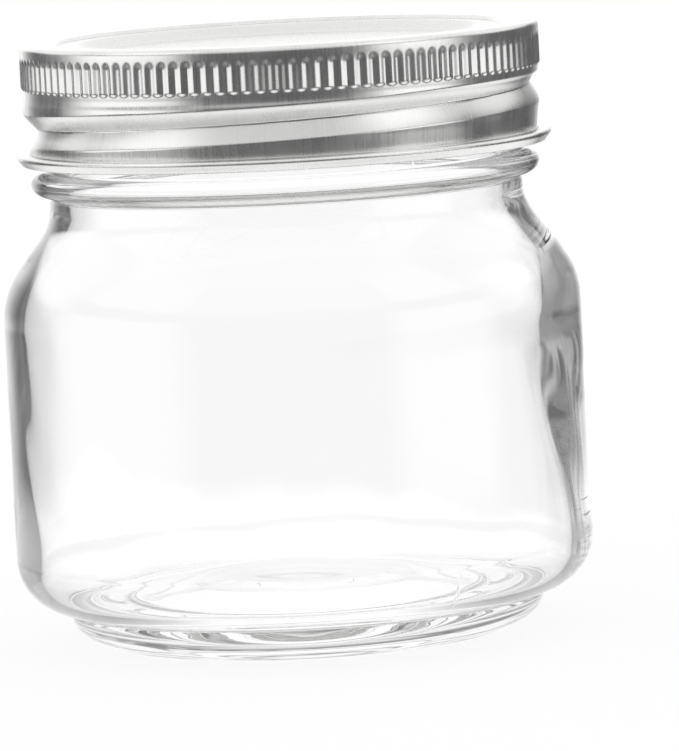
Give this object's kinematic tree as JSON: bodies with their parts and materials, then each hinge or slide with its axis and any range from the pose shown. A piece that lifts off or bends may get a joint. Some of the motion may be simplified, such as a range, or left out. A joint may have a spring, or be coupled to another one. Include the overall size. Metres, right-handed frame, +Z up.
{
  "type": "mason jar",
  "caption": "Small round glass storage jar with a threaded neck, closed by a flat lid disc on a sealing ring and a fluted metal screw band with a rolled hem.",
  "frame": {"origin": "centre of the foot's bearing ring, on the surface the jar stands on", "axes": "+Z up along the jar's axis, -Y towards the side that faces the viewer in the picture"},
  "size_m": [0.076, 0.076, 0.0795],
  "materials": {
    "clear_glass": "clear and smooth, uneven inside",
    "sealing_compound": "soft matt",
    "disc_tinplate": "bright satin",
    "band_tinplate": "bright, finely brushed upwards"
  },
  "bodies": {
    "jar": {"glass_jar": "clear_glass"},
    "lid": {"sealing_ring": "sealing_compound", "lid_disc": "disc_tinplate"},
    "band": {"screw_band": "band_tinplate"}
  },
  "joints": [
    {"name": "lid_lift", "type": "slide", "parent": "jar", "child": "lid", "axis": [0, 0, 1], "range_m": [0, 0.0186]},
    {"name": "band_turn", "type": "hinge", "parent": "lid", "child": "band", "pos_m": [0, 0, 0.0795], "axis": [0, 0, 1], "range_deg": [0, 1080]}
  ],
  "couplings": [
    {"joint": "lid_lift", "follows": "band_turn", "m_per_rad": 0.00098676}
  ]
}
